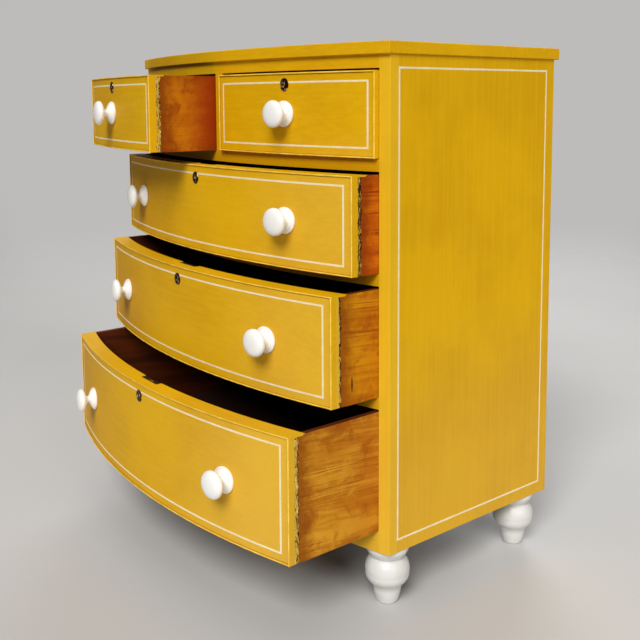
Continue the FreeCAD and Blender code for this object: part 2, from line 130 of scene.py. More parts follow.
corner_points = np.vstack([np.zeros(3), np.eye(3)])
corner_faces = [np.array([[0, 2, 1], [0, 1, 3], [0, 3, 2], [1, 2, 3]])]
print("the corner of a unit cube holds", round(signed_volume(corner_points, corner_faces), 3))

# %% A mesh in place, riding on its body
def make_object(name, points, faces, smooth):
    """A mesh object at the origin: groups of faces over one list of points."""
    mesh = bpy.data.meshes.new(name)
    mesh.from_pydata(points.tolist(), [], [face for group in faces for face in group.tolist()])
    mesh.polygons.foreach_set("use_smooth", np.full(len(mesh.polygons), smooth))
    made = bpy.data.objects.new(name, mesh)
    bpy.context.scene.collection.objects.link(made)
    print(name, len(points), "points,", len(mesh.polygons), "faces")
    return made


def make_piece(name, points, faces, body, replaced=(), values=None, smooth=True):
    """A closed piece that rides on a body, with point values kept under their names."""
    if signed_volume(points, faces) < 0:
        faces = [group[:, ::-1] for group in faces]
    piece = make_object(name, points, faces, smooth)
    for key, data in (values or {}).items():
        attribute = piece.data.attributes.new(key, "FLOAT", "POINT")
        attribute.data.foreach_set("value", np.asarray(data, np.float32))
    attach(piece, body)
    if replaced:
        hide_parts(*replaced)
    return piece


def on_bow(local, x, z, out):
    """Carry points (right, up, forward) to the bow at x, on a drawer that stands out. Right
    runs along the bow and forward away from its axis, whose sine is x over the radius."""
    turn = math.asin(x / bow_radius)
    forward = np.array([math.sin(turn), -math.cos(turn), 0.0])
    right = np.array([math.cos(turn), math.sin(turn), 0.0])
    up = np.array([0.0, 0.0, 1.0])
    place = np.array([0.0, bow_axis_y, z]) + bow_radius * forward - np.array([0.0, out, 0.0])
    return place + local[:, :1] * right + local[:, 1:2] * up + local[:, 2:] * forward


print("at x 0.3 the bow has turned by", round(math.degrees(math.asin(0.3 / bow_radius)), 1), "degrees")

# %% [markdown]
# ## Turning
#
# Knobs and feet are turned on a lathe: a profile of radius and height goes once round the
# axis. Blender's Screw modifier could do it, but a formula also lets each point keep how far
# along the profile it lies, for the faint rings that the tool leaves under the paint. The
# profiles are drawn from arcs, as a turner's gouge leaves them.

# %% Profiles of arcs
def arc(start, end, swell, count=10):
    """Points after start on the arc to end that stands out from their line by swell. With
    chord c and swell s its radius is c*c/(8*s) + s/2, and half its span is twice the angle
    whose tangent is 2*s/c."""
    start, end = np.array(start, float), np.array(end, float)
    chord = np.hypot(*(end - start))
    unit = (end - start) / chord
    outward = np.array([unit[1], -unit[0]])
    size = abs(swell)
    radius = chord ** 2 / (8 * size) + size / 2
    angle = np.linspace(-1, 1, count + 1)[1:] * 2 * math.atan(2 * size / chord)
    rise = math.copysign(1, swell) * (radius * np.cos(angle) - radius + size)
    return start + (radius * np.sin(angle) + chord / 2)[:, None] * unit + rise[:, None] * outward


def joined(lines):
    """The points of several lines as one line, end to end."""
    return np.vstack([np.asarray(line, float) for line in lines])


print("an arc 10 high that swells by 1 reaches", round(float(arc((0, 0), (0, 10), 1.0)[:, 0].max()), 3))

# %% A profile carried round its axis
def turned_shell(profile, segments):
    """The profile carried round its axis: at angle a a point of radius r and height h lies at
    (r cos a, r sin a, h). The first and last places are the two poles, one point each."""
    rings, count = profile[1:-1], len(profile) - 2
    angle = np.linspace(0, 2 * math.pi, segments, endpoint=False)
    radius, height = rings[:, :1], np.repeat(rings[:, 1:], segments, 1)
    points = np.stack([radius * np.cos(angle), radius * np.sin(angle), height], -1).reshape(-1, 3)
    points = np.vstack([points, [0, 0, profile[0, 1]], [0, 0, profile[-1, 1]]])
    here = np.arange(segments)
    after = (here + 1) % segments
    last = (count - 1) * segments
    fans = np.vstack([np.stack([after, here, np.full(segments, len(points) - 2)], 1),
                      np.stack([last + here, last + after, np.full(segments, len(points) - 1)], 1)])
    steps = np.hypot(*np.diff(profile, axis=0).T)
    along = np.concatenate([[0], np.cumsum(steps)])
    turning = np.concatenate([np.repeat(along[1:-1], segments), along[[0, -1]]])
    return points, [grid_faces(count, segments, close_columns=True), fans], turning


def join_shells(shells):
    """Several closed shells as one: the face numbers of each go on after the last one's."""
    points, faces, values, start = [], [], [], 0
    for shell_points, shell_faces, shell_values in shells:
        points.append(shell_points)
        faces += [group + start for group in shell_faces]
        values.append(shell_values)
        start += len(shell_points)
    return np.vstack(points), faces, np.concatenate(values)


disc = turned_shell(joined([[[0, 0], [1, 0]], arc((1, 0), (1, 1), 0.1), [[0, 1]]]), 48)
print("a disc of radius 1 with a swollen rim has", len(disc[0]), "points")

# %% [markdown]
# ## The knobs
#
# Each knob is a full domed head on a slim neck, over a bell with turned rings that sits
# against the drawer. Its spigot goes through the drawer front. An ellipse would make the
# head too pointed at the rim and a box too square, so its profile is the curve between the
# two, a superellipse.

# %% Draw the knob
mm = 0.001


def bun(radius, middle, rise, inner, fullness=2.3, count=26):
    """Profile from the widest place at height middle to the inner radius. There the share of
    the radius and the share of the rise, each to the power of fullness, add up to one."""
    share = inner / radius
    t = np.linspace(0, math.acos(share ** (fullness / 2)), count)
    power = 2 / fullness
    return np.stack([radius * np.cos(t) ** power, middle + rise * np.sin(t) ** power], 1)


def knob_profile():
    """Radius and height, height 0 on the face of the drawer. Each turned ring of the bell is a
    groove whose depth falls off from its middle as a bell curve of the radius."""
    groove_depth, groove_width = 0.8, 0.55
    head_radius, head_height = 26.5, 31.2
    spigot = [[[0, -32], [7.6, -32]], arc((7.6, -32), (8, -31.6), 0.08, 3), [[8, -0.4], [8, 0]]]
    rim = [[[8.4, 0], [23.8, 0]], arc((23.8, 0), (25.4, 2.0), 0.45, 6),
           arc((25.4, 2.0), (25.3, 4.0), 0.15, 4), arc((25.3, 4.0), (23.9, 5.6), 0.35, 6)]
    bell = arc((23.9, 5.6), (9.6, 13.8), 1.1, 60)
    for ring in (21.6, 18.2, 14.6):
        bell[:, 1] -= groove_depth * np.exp(-((bell[:, 0] - ring) / groove_width) ** 2)
    under = bun(head_radius, head_height, -9.4, inner=10.0)[::-1]
    over = bun(head_radius, head_height, 10.9, inner=0.0)
    neck = [arc(bell[-1], (8.7, 16.6), -0.5, 8), arc((8.7, 16.6), under[0], -0.9, 8)]
    profile = joined([*spigot, *rim, bell, *neck, under[1:], over[1:]])
    profile[-1, 0] = 0.0
    return profile * mm


knob = turned_shell(knob_profile(), segments=96)
print("a knob is", np.ptp(knob[0], axis=0).round(4), "m with its spigot")

# %% Set the knobs on the drawers
short_knob_x, long_knob_x = 0.2255, 0.285
for name, drawer in drawers.items():
    side = math.copysign(1, sum(drawer["x"]))
    drawer["knob_x"] = (-long_knob_x, long_knob_x) if drawer["long"] else (side * short_knob_x,)
    height = middle_and_half(drawer["z"])[0]
    shells = [(on_bow(knob[0], x, height, drawer["out"]), knob[1], knob[2]) for x in drawer["knob_x"]]
    points, faces, turning = join_shells(shells)
    node = name + ("_knobs" if drawer["long"] else "_knob")
    drawer["knobs"] = make_piece("turned_" + node, points, faces, name, [node],
                                 {"turning": turning})

# %% [markdown]
# ## The feet
#
# A foot is turned in one piece: a rounded collar under the case, a sharp groove, a full
# belly, a small hollow under it and a leg that narrows to the sole. It could be cut from a
# cylinder ring by ring, but the lathe that made the knobs makes it too, from its own
# drawing. Paint has filled the groove and softened the edges, so each corner is a short arc.

# %% Draw the foot
def foot_profile():
    """Radius and height, from the middle of the sole up to the end of the spigot."""
    sole = [[[0, 0], [17.6, 0]], arc((17.6, 0), (21.8, 4.4), 1.0, 8)]
    leg = arc((21.8, 4.4), (26.5, 25), 0.7, 16)
    hollow = arc((26.5, 25), (36.0, 42.6), -1.8, 18)
    belly = [arc((36.0, 42.6), (42.8, 60.6), 2.2, 20), arc((42.8, 60.6), (35.2, 88.6), 3.2, 24)]
    groove = [arc((35.2, 88.6), (31.6, 91.3), 0.6, 6), arc((31.6, 91.3), (31.8, 93.2), -0.7, 5)]
    collar = [arc((31.8, 93.2), (41.2, 107), 0.9, 14), arc((41.2, 107), (39.8, 115.6), 0.9, 12)]
    spigot = [[39.5, 116], [13.4, 116], [13, 116.4], [13, 133.6], [12.6, 134], [0, 134]]
    return joined([*sole, leg, hollow, *belly, *groove, *collar, spigot]) * mm


foot = turned_shell(foot_profile(), segments=112)
print("a foot is", np.ptp(foot[0], axis=0).round(4), "m with its spigot")

# %% Set the feet under the corners
foot_x, front_inset, back_inset = 0.418, 0.034, 0.055
foot_rows = (corner_y + front_inset, case_back - back_inset)
corners = [(x, y, 0.0) for x in (-foot_x, foot_x) for y in foot_rows]
shells = [(foot[0] + np.array(corner), foot[1], foot[2]) for corner in corners]
points, faces, turning = join_shells(shells)
turned_feet = make_piece("turned_feet", points, faces, "case", ["feet"],
                         {"turning": turning})

# %% [markdown]
# ## The keyhole plates
#
# Each drawer has a small oval plate of dark brass, a little domed, with its rim rolled down
# to the wood. It could be cut from a solid, but a sheet between two outlines is neater: one
# outline is the keyhole, the other the oval, and a closed profile between them gives the
# face, the rolled rim, the back and the wall of the hole.

# %% The edge of the keyhole
hole_radius, hole_height = 2.4, 2.0
slot_half_width, slot_reach = 1.4, 5.0


def keyhole(angle):
    """How far the edge lies from the middle of the round hole, in millimetres: the hole's
    radius, or below it the slot where that reaches further. The slot ends at its half width
    over the cosine or at its reach over the sine, whichever is less."""
    down = -np.sin(angle)
    slot = np.minimum(slot_half_width / np.abs(np.cos(angle)), slot_reach / np.maximum(down, 1e-9))
    return np.maximum(hole_radius, np.where(down > 0, slot, 0.0))


print("the slot ends", round(float(keyhole(np.array(-math.pi / 2))), 2), "mm below the hole's middle")

# %% The plate between keyhole and oval
oval_half = np.array([11.2, 12.7])
plate_profile = np.array([          # share of the way from the keyhole to the rim, and height
    (0, -0.3), (0, 1.0), (0.02, 1.2), (0.08, 1.35), (0.3, 1.55), (0.55, 1.7), (0.75, 1.76),
    (0.88, 1.72), (0.95, 1.5), (0.985, 1.1), (1, 0.5), (1, -0.3), (0.9, -0.3), (0.1, -0.3)])


def keyhole_plate(segments=144):
    """The point at angle a and profile place (t, h) is the keyhole's edge plus t times the way
    to the oval's edge, lifted by h."""
    angle = np.linspace(0, 2 * math.pi, segments, endpoint=False)
    ray = np.stack([np.cos(angle), np.sin(angle)], 1)
    inner = np.array([0, hole_height]) + keyhole(angle)[:, None] * ray
    outer = oval_half * ray
    share, height = plate_profile.T
    flat = inner[:, None, :] + share[None, :, None] * (outer - inner)[:, None, :]
    lift = np.broadcast_to(height[None, :, None], (segments, len(share), 1))
    points = np.concatenate([flat, lift], -1).reshape(-1, 3) * mm
    return points, [grid_faces(segments, len(share), True, True)]


plate_points, plate_faces = keyhole_plate()
for name, drawer in drawers.items():
    node = name + "_escutcheon"
    low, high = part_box(node)
    x = 0.0 if drawer["long"] else drawer["knob_x"][0]
    points = on_bow(plate_points, x, (low.z + high.z) / 2, drawer["out"])
    drawer["plate"] = make_piece("domed_" + node, points, plate_faces, name, [node])

# %% [markdown]
# ## The pinstripes
#
# A cream line about 3 mm wide runs round each drawer front and each side of the case, set in
# from the edges. It was drawn by hand with a lining brush, so it lies a hair proud of the
# yellow and its edges aren't ruled. A line in a material would blur when it is baked, so each
# stripe is a thin ribbon: four edges carried round a rectangle and laid on the bow or panel.

# %% A hand that wanders round a rectangle
rng = np.random.default_rng(7)


def round_rectangle(steps_wide, steps_tall):
    """Unit places once round a rectangle: its sides in turn, corner to corner."""
    wide, tall = np.linspace(-1, 1, steps_wide + 1)[:-1], np.linspace(-1, 1, steps_tall + 1)[:-1]
    u = np.concatenate([wide, np.ones(steps_tall), -wide, -np.ones(steps_tall)])
    v = np.concatenate([-np.ones(steps_wide), tall, np.ones(steps_wide), -tall])
    return u, v


def wander(count):
    """A slow closed wobble between about -1 and 1: a few waves of chance height and start."""
    turn = np.linspace(0, 2 * math.pi, count, endpoint=False)
    waves = rng.integers(5, 60, 7)
    return sum(rng.uniform(-1, 1) * np.sin(k * turn + rng.uniform(0, 6)) for k in waves) / 3


print("a rectangle of 72 by 20 steps has", len(round_rectangle(72, 20)[0]), "places")

# %% A ribbon of paint
stripe_width, stripe_drift, stripe_swell = 3.6 * mm, 0.12 * mm, 0.10
proud, sunk = 0.18 * mm, 0.8 * mm


def ribbon(across, upward, steps_wide, steps_tall, lay):
    """Four edge lines round the rectangle: outer and inner edge, proud and sunk. An edge at
    offset o lies at the middle plus the unit place times the half size plus o, and lay puts
    it on the wood. Across and upward are each a middle and a half size."""
    u, v = round_rectangle(steps_wide, steps_tall)
    drift = stripe_drift * wander(len(u))
    swell = 1 + stripe_swell * wander(len(u))
    rows = []
    for side, height in ((1, -sunk), (1, proud), (-1, proud), (-1, -sunk)):
        offset = side * stripe_width / 2 * swell + drift
        x, z = across[0] + u * (across[1] + offset), upward[0] + v * (upward[1] + offset)
        rows.append(lay(x, z, height))
    return np.stack(rows, 1).reshape(-1, 3), [grid_faces(len(u), 4, True, True)]


print("a stripe is", round(1000 * stripe_width, 1), "mm wide")

# %% Draw the stripes on the drawers
short_end_gap, long_end_gap, edge_gap = 15.5 * mm, 19.5 * mm, 18.5 * mm
for name, drawer in drawers.items():
    def on_front(x, z, height):
        """Y is that of a bow whose radius is larger by the height, less how far it is open."""
        return np.stack([x, bow_y(x, bow_radius + height) - drawer["out"], z], 1)

    middle_x, half_x = middle_and_half(drawer["x"])
    middle_z, half_z = middle_and_half(drawer["z"])
    end_gap = long_end_gap if drawer["long"] else short_end_gap
    points, faces = ribbon((middle_x, half_x - end_gap), (middle_z, half_z - edge_gap),
                           72 if drawer["long"] else 40, 20, lay=on_front)
    drawer["stripe"] = make_piece("pinstripe_" + name, points, faces, name, smooth=False)

# %% Draw the stripes on the sides of the case
front_gap, back_gap, low_gap, high_gap = 21.5 * mm, 24.5 * mm, 25.5 * mm, 24.0 * mm
case_low, case_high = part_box("side_right")
panel_y = middle_and_half((corner_y + front_gap, case_back - back_gap))
panel_z = middle_and_half((case_low.z + low_gap, case_high.z - high_gap))
side_stripes = []
for side, word in ((-1, "left"), (1, "right")):
    def on_side(y, z, height):
        """X is the half width plus the height, to the left or right."""
        return np.stack([np.full_like(y, side * half_width) + side * height, y, z], 1)

    points, faces = ribbon(panel_y, panel_z, 44, 80, lay=on_side)
    piece = make_piece("pinstripe_side_" + word, points, faces, "case", smooth=False)
    side_stripes.append(piece)

# %% [markdown]
# ## Writing materials as sums
#
# A finish is mostly arithmetic: how far a place is from an edge, how strong the grain is
# there, which colour wins. Node by node that is hard to read, so one small class wraps a
# socket, and adding, taking away or multiplying it makes the Math node. Colours go through
# Mix nodes, and every other node comes from one method, which the room uses as well. Patterns
# are read at the place in the chest's own frame, so they don't slide when they are baked.

# %% A socket that can be reckoned with
class Reading:
    """A number that varies from place to place: sums with it add Math nodes to its tree. The
    named ones give it without its sign, the whole number below it, its square root and sine,
    and the lesser and the greater of two."""

    def __init__(self, recipe, socket):
        self.recipe, self.socket = recipe, socket

    def _math(self, operation, *values):
        return self.recipe.number("ShaderNodeMath", {"operation": operation}, dict(enumerate(values)))

    def __add__(self, other):
        return self._math("ADD", self, other)

    def __radd__(self, other):
        return self._math("ADD", other, self)

    def __sub__(self, other):
        return self._math("SUBTRACT", self, other)

    def __rsub__(self, other):
        return self._math("SUBTRACT", other, self)

    def __mul__(self, other):
        return self._math("MULTIPLY", self, other)

    def __rmul__(self, other):
        return self._math("MULTIPLY", other, self)

    def abs(self):
        return self._math("ABSOLUTE", self)

    def floor(self):
        return self._math("FLOOR", self)

    def root(self):
        return self._math("SQRT", self)

    def sin(self):
        return self._math("SINE", self)

    def least(self, other):
        return self._math("MINIMUM", self, other)

    def most(self, other):
        return self._math("MAXIMUM", self, other)

    def step(self, low, high):
        """0 below low, 1 above high and a smooth rise between; falls where low is above high."""
        first, last = (0.0, 1.0) if low < high else (1.0, 0.0)
        return self.recipe.number("ShaderNodeMapRange", {"interpolation_type": "SMOOTHSTEP"},
                                  {0: self, 1: min(low, high), 2: max(low, high), 3: first, 4: last})


print("a reading has sums and steps, a root and a sine, least and most")

# %% A tree of nodes
class Recipe:
    """A tree of nodes, of a material or of the room."""

    def __init__(self, tree):
        self.tree = tree

    def feed(self, socket, value):
        """Link a socket to a reading or to another socket, or set it to a number or colour."""
        value = getattr(value, "socket", value)
        if isinstance(value, bpy.types.NodeSocket):
            self.tree.links.new(value, socket)
        elif socket.type == "RGBA":
            socket.default_value = (*value, 1.0)
        else:
            socket.default_value = value

    def node(self, kind, settings, inputs):
        """Add a node, set its settings first, then give its sockets values or links."""
        made = self.tree.nodes.new(kind)
        for key, value in settings.items():
            setattr(made, key, value)
        for key, value in inputs.items():
            self.feed(made.inputs[key], value)
        return made

    def number(self, kind, settings, inputs, output=0):
        """A node whose output is reckoned with."""
        return Reading(self, self.node(kind, settings, inputs).outputs[output])


print("a recipe adds nodes and feeds their sockets")

# %% A finish on the chest
class Finish(Recipe):
    """One material, its nodes and the places its patterns are read at."""

    def __init__(self, name):
        self.material = bpy.data.materials.new(name)
        self.material.use_nodes = True
        super().__init__(self.material.node_tree)
        self.shader = next(n for n in self.tree.nodes if n.type == "BSDF_PRINCIPLED")
        self.place = self.node("ShaderNodeTexCoord", {}, {}).outputs["Object"]
        split = self.node("ShaderNodeSeparateXYZ", {}, {0: self.place})
        self.x, self.y, self.z = (Reading(self, split.outputs[k]) for k in range(3))

    def mix(self, amount, first, second):
        """Colour between first and second: first less its share, plus the share of second."""
        mixed = self.node("ShaderNodeMix", {"data_type": "RGBA"}, {0: amount, 6: first, 7: second})
        return mixed.outputs[2]

    def stretch(self, x, y, z, tilt=0.0):
        """The place turned about X by a tilt in radians, then each axis multiplied, so that a
        pattern is drawn out along the least."""
        place = self.place
        if tilt:
            turned = self.node("ShaderNodeVectorRotate", {"rotation_type": "X_AXIS"},
                               {"Vector": place, "Angle": tilt})
            place = turned.outputs[0]
        drawn = self.node("ShaderNodeVectorMath", {"operation": "MULTIPLY"}, {0: place, 1: (x, y, z)})
        return drawn.outputs[0]

    def noise(self, x, y, z, detail=2.0, rough=0.5, bent=0.0, tilt=0.0):
        """Soft noise with so many waves to the metre along each axis, its lines straight or bent."""
        return self.number("ShaderNodeTexNoise", {}, {
            "Vector": self.stretch(x, y, z, tilt), "Scale": 1.0, "Detail": detail, "Roughness": rough,
            "Distortion": bent})

    def even_noise(self, waves, **settings):
        """Noise that is drawn out along no axis."""
        return self.noise(waves, waves, waves, **settings)

    def grain_noise(self, grain, along, across, **settings):
        """Noise with few waves along the grain's axis and many across it."""
        return self.noise(*(along if axis == grain else across for axis in "xyz"), **settings)

    def bump(self, height, distance, strength):
        """The normal tipped by the slope of a height that is worth a distance in metres."""
        inputs = {"Height": height, "Distance": distance, "Strength": strength}
        return self.node("ShaderNodeBump", {}, inputs).outputs[0]

    def shade(self, **sockets):
        """Feed the shader's sockets, named with underscores, and hand over the material."""
        for key, value in sockets.items():
            self.feed(self.shader.inputs[key.replace("_", " ")], value)
        print(self.material.name, "has", len(self.tree.nodes), "nodes")
        return self.material


print("a finish reads the place, mixes colours, makes noise and tips the light")

# %% Finishes on the solids
def paint_over(names, material):
    """Give CAD nodes a finish through their material slots."""
    for name in names:
        slots = nodes[name].data.materials
        for k in range(len(slots)):
            slots[k] = material


print(sum(len(node.data.materials) for node in nodes.values()), "slots wait for a finish")

# %% [markdown]
# ## Mustard paint
#
# The case was painted in a satin mustard over old polished wood. Such paint isn't one colour:
# it is thinner and lighter on the arrises, a little deeper where the brush stopped, and the
# grain of the wood shows through as fine lines that run along each board. It could be drawn
# on each board as a picture, but noise that is stretched along the board has no seams. The
# same recipe serves every board, so it is a function of the grain's direction.

# %% The yellow, with grain and brush marks along the board
def mustard(finish, grain):
    """Colour, roughness and height of the paint. Noise that is drawn out along the board gives
    the grain and the brush marks, and wide noise the deeper and lighter patches. Low down and
    towards +X the paint is paler: a painted sheen of the light from the right."""
    deep, light, ridge = (0.67, 0.352, 0.001), (0.75, 0.412, 0.001), (0.84, 0.490, 0.010)
    pore, speck, painted_sheen_tone = (0.50, 0.230, 0.001), (0.52, 0.250, 0.001), (0.60, 0.345, 0.10)
    pores = finish.grain_noise(grain, 14, 900, detail=2.0, rough=0.6)
    marks = finish.grain_noise(grain, 5, 160, detail=3.0, rough=0.55)
    patch = finish.even_noise(4.5, detail=4.0, rough=0.6)
    stipple = finish.even_noise(380, detail=3.0, rough=0.7)
    tone = finish.mix(patch.step(0.34, 0.66), deep, light)
    tone = finish.mix(marks.step(0.38, 0.66) * 0.24, tone, ridge)
    tone = finish.mix(pores.step(0.58, 0.74) * 0.20, tone, pore)
    tone = finish.mix(stipple.step(0.45, 0.70) * 0.16, tone, speck)
    # Painted sheen: the paint is paler low down and towards +X, where the light from the right glances
    # off it.
    painted_sheen_low_right = finish.z.step(0.62, 0.15) * finish.x.step(-0.10, 0.42)
    tone = finish.mix(painted_sheen_low_right * 0.22, tone, painted_sheen_tone)
    rough = 0.44 + patch * 0.10 + pores * 0.06
    height = marks * 0.5 + pores * 0.3 + stipple * 0.2
    return tone, rough, height


print("the mustard's recipe is ready for grain along X, Y or Z")

# %% The yellow of the case
paint_gloss, brush_depth = 0.11, 0.14 * mm


def satin(finish, tone, rough, height):
    """Satin paint: little gloss, and brush marks that tip the light."""
    return finish.shade(Base_Color=tone, Roughness=rough, Specular_IOR_Level=paint_gloss,
                        Normal=finish.bump(height, brush_depth, 0.8))


def yellow(name, grain, share=0.0, other=None):
    """The mustard of one board, or a share of the way from it to another tone."""
    finish = Finish(name)
    tone, rough, height = mustard(finish, grain)
    if share:
        tone = finish.mix(share, tone, other)
    return satin(finish, tone, rough, height)


along_x = yellow("mustard paint, grain across", "x")
along_z = yellow("mustard paint, grain upright", "z")
# Painted shade: the rails are a darker copy of the mustard, standing in for the shade under the drawers.
rail_paint_with_painted_shade = yellow("mustard paint on the rails with painted shade", "x", 0.6, (0.60, 0.255, 0.001))
# Painted highlight: the stiles are a paler copy of the mustard, standing in for the light they catch.
stile_paint_with_painted_highlight = yellow("mustard paint on the stiles with painted highlight", "z", 0.25, (0.92, 0.59, 0.045))
paint_over(["top_board", "top_rail", "base_rail"], along_x)
paint_over(["drawer_rail_1", "drawer_rail_2", "drawer_rail_3"], rail_paint_with_painted_shade)
paint_over(["side_left", "side_right", "drawer_divider"], along_z)
paint_over(["stiles"], stile_paint_with_painted_highlight)

# %% [markdown]
# ## The beads
#
# A thin rounded bead stands before each drawer's edges. Its nose is paler, partly rubbed wear
# and partly a painted highlight, and the corner by the panel is darkened as painted shade.
# Both could be painted by hand, but on these drawers two lengths tell where they are: how far
# a place lies behind the bow, and how far inside the drawer's outline.

# %% Lengths on a drawer
def behind_bow(finish, drawer):
    """How far a place lies behind the bowed face: Y less that of the axis of the open drawer,
    plus the root of the bow's radius squared less X squared."""
    return finish.y - (bow_axis_y - drawer["out"]) + (bow_radius ** 2 - finish.x * finish.x).root()


def inside_outline(finish, drawer):
    """How far a place lies from the nearer end, and from the nearer of the top and the bottom:
    half the size less the distance from the middle."""
    middle_x, half_x = middle_and_half(drawer["x"])
    middle_z, half_z = middle_and_half(drawer["z"])
    return half_x - (finish.x - middle_x).abs(), half_z - (finish.z - middle_z).abs()


half_x = middle_and_half(drawers["long_drawer_1"]["x"])[1]
print("a long drawer's outline reaches", round(half_x, 4), "m to each side")

# %% Beads paler on their noses, partly a painted highlight
def bead_paint(name, drawer):
    """Mustard that is paler where the nose stands before the bow, partly rubbed wear and partly
    a painted highlight, with painted shade in the corner where the bead meets the panel."""
    finish = Finish(name)
    behind = behind_bow(finish, drawer)
    from_end, from_edge = inside_outline(finish, drawer)
    tone, rough, height = mustard(finish, "x")
    rubbed = finish.even_noise(40, detail=4.0, rough=0.6)
    # Painted highlight and wear: the nose, where it stands before the bow, is paler.
    nose_wear_and_highlight = behind.step(-0.6 * mm, -2.1 * mm)
    tone = finish.mix(nose_wear_and_highlight * (0.40 + rubbed.step(0.40, 0.62) * 0.45), tone, (1.0, 0.66, 0.115))
    # Painted shade: darker in the corner where the bead meets the panel.
    corner = behind.step(-1.2 * mm, -0.3 * mm) * from_end.least(from_edge).step(2.2 * mm, 2.8 * mm)
    tone = finish.mix(corner * 0.6, tone, (0.20, 0.085, 0.002))
    return satin(finish, tone, rough, height)


for name, drawer in drawers.items():
    paint_over([name + "_cock_bead"], bead_paint("bead paint of " + name.replace("_", " "), drawer))

# %% [markdown]
# ## The drawers: paint that stops at a ragged edge
#
# The fronts are painted, but the painter's brush ran out a little way round the ends, over
# the end grain between the dovetails. Behind that ragged edge the sides are old orange pine,
# and inside the drawers the wood is almost black with age. The fronts are painted darker
# towards the left as painted shade and paler towards the right as a painted sheen. A picture
# of each side could show this, but all of it depends on how far a place lies behind the bowed
# face, so the same few steps do it for five drawers, each with its own numbers.

# %% How the five drawers differ
# Tone of the pine, strength of its streaks, tilt of its grain, depth of whole paint, depth of
# the frayed edge, share of bare wood in it, darkening towards the case by age and painted shade,
# and a split: how far it lies behind the face, and how far its ends lie above the drawer's lower
# edge.
traits = ("tone", "streaks", "tilt", "solid", "frayed", "bare", "aged_rear", "split")
trait_rows = {
    "short_drawer_left": ((0.47, 0.130, 0.0005), 0.30, 0.0, 0.0150, 0.0235, 0.43, 0.9, None),
    "short_drawer_right": ((0.46, 0.125, 0.0005), 0.30, 0.0, 0.0150, 0.0225, 0.50, 0.0, None),
    "long_drawer_1": ((0.56, 0.115, 0.0003), 1.0, 0.02, 0.0120, 0.0200, 0.51, 0.0, None),
    "long_drawer_2": ((0.58, 0.205, 0.001), 0.8, 0.07, 0.0165, 0.0195, 0.50, 0.25, (0.046, 0.022, 0.052)),
    "long_drawer_3": ((0.58, 0.232, 0.009), 0.9, 0.08, 0.0110, 0.0195, 0.43, 0.25, None)}
for name, row in trait_rows.items():
    drawers[name].update(zip(traits, row))
    print(name, "has whole paint to", round(1000 * drawers[name]["solid"], 1), "mm")

# %% Pine with bent grain
def shift(tone, *factors):
    """A tone with its red, green and blue each times a factor."""
    return tuple(part * factor for part, factor in zip(tone, factors))


def pine(finish, tone, streaks, tilt):
    """Old softwood round one middle tone, its grain along Y or rising a little towards the
    back. Noise drawn out along the board and bent gives the bands of the grain, finer noise the
    dark lines in it, and wide noise the stains and the places that were rubbed pale."""
    bands = finish.noise(60, 2.2, 34, detail=3.0, rough=0.6, bent=0.9, tilt=tilt)
    lines = finish.noise(420, 5, 420, detail=4.0, rough=0.75, bent=0.3, tilt=tilt)
    cloud = finish.noise(9, 13, 15, detail=6.0, rough=0.7, bent=0.6)
    where = finish.noise(6, 5, 12, detail=3.0, rough=0.5)
    pale_band, dark_band = shift(tone, 1.14, 1.30, 2.0), shift(tone, 0.84, 0.72, 0.5)
    wood = finish.mix(bands.step(0.38, 0.62) * (0.3 + 0.7 * streaks), pale_band, dark_band)
    dark_line = lines.step(0.50, 0.62) * where.step(0.38, 0.58) * streaks
    wood = finish.mix(dark_line, wood, shift(tone, 0.45, 0.26, 0.1))
    wood = finish.mix(lines.step(0.44, 0.32) * 0.5 * streaks, wood, shift(tone, 1.22, 1.5, 3.0))
    wood = finish.mix(cloud.step(0.50, 0.66) * 0.75, wood, shift(tone, 0.56, 0.34, 0.1))
    wood = finish.mix(cloud.step(0.46, 0.34) * 0.60, wood, shift(tone, 1.18, 1.42, 2.2))
    return wood, bands, lines


print("a tone with half its red:", shift((0.6, 0.2, 0.1), 0.5, 1, 1))

# %% Pine that has aged, with painted shade towards the case, and split
def aged_and_shaded_pine(finish, drawer, behind, from_edge):
    """The drawer's pine, darker just behind the frayed paint, towards the case where the drawer
    goes back into it (age and painted shade), and along the handled rim. Each is a step of a
    length plus noise."""
    tone, frayed, out = drawer["tone"], drawer["frayed"], drawer["out"]
    wood, bands, lines = pine(finish, tone, drawer["streaks"], drawer["tilt"])
    rubbed = finish.noise(45, 45, 60, detail=4.0, rough=0.7)
    near = (behind + (rubbed - 0.5) * 0.05).step(frayed + 0.042, frayed)
    wood = finish.mix(near * 0.82, wood, shift(tone, 0.42, 0.22, 0.05))
    # Age and painted shade: darker towards the case, where the drawer goes back into it.
    rear_age_and_painted_shade = (behind + (rubbed - 0.5) * 0.06).step(0.35 * out, 0.95 * out)
    wood = finish.mix(rear_age_and_painted_shade * drawer["aged_rear"], wood, shift(tone, 0.62, 0.18, 0.02))
    rim = from_edge.step(0.022, 0.002) * rubbed.step(0.36, 0.60)
    wood = finish.mix(rim * 0.6, wood, shift(tone, 0.50, 0.30, 0.2))
    return wood, bands, lines


def split_open(finish, drawer, behind, ragged, wood):
    """The wood with its dark upright crack, where it has one. At a share s of its half length
    the crack is as wide as 1 less s squared, times a ragged width."""
    if not drawer["split"]:
        return wood
    depth, *ends = drawer["split"]
    middle, half = middle_and_half(ends)
    share = (finish.z - (drawer["z"][0] + middle)) * (1 / half)
    lens = 1 - share * share
    gap = lens * (0.4 + ragged) * (1.8 * mm)
    crack = ((behind - depth).abs() - gap).step(0.6 * mm, -0.3 * mm) * lens.step(0.0, 0.15)
    return finish.mix(crack * 0.95, wood, (0.025, 0.004, 0.001))


print("split open:", [name for name, drawer in drawers.items() if drawer["split"]])

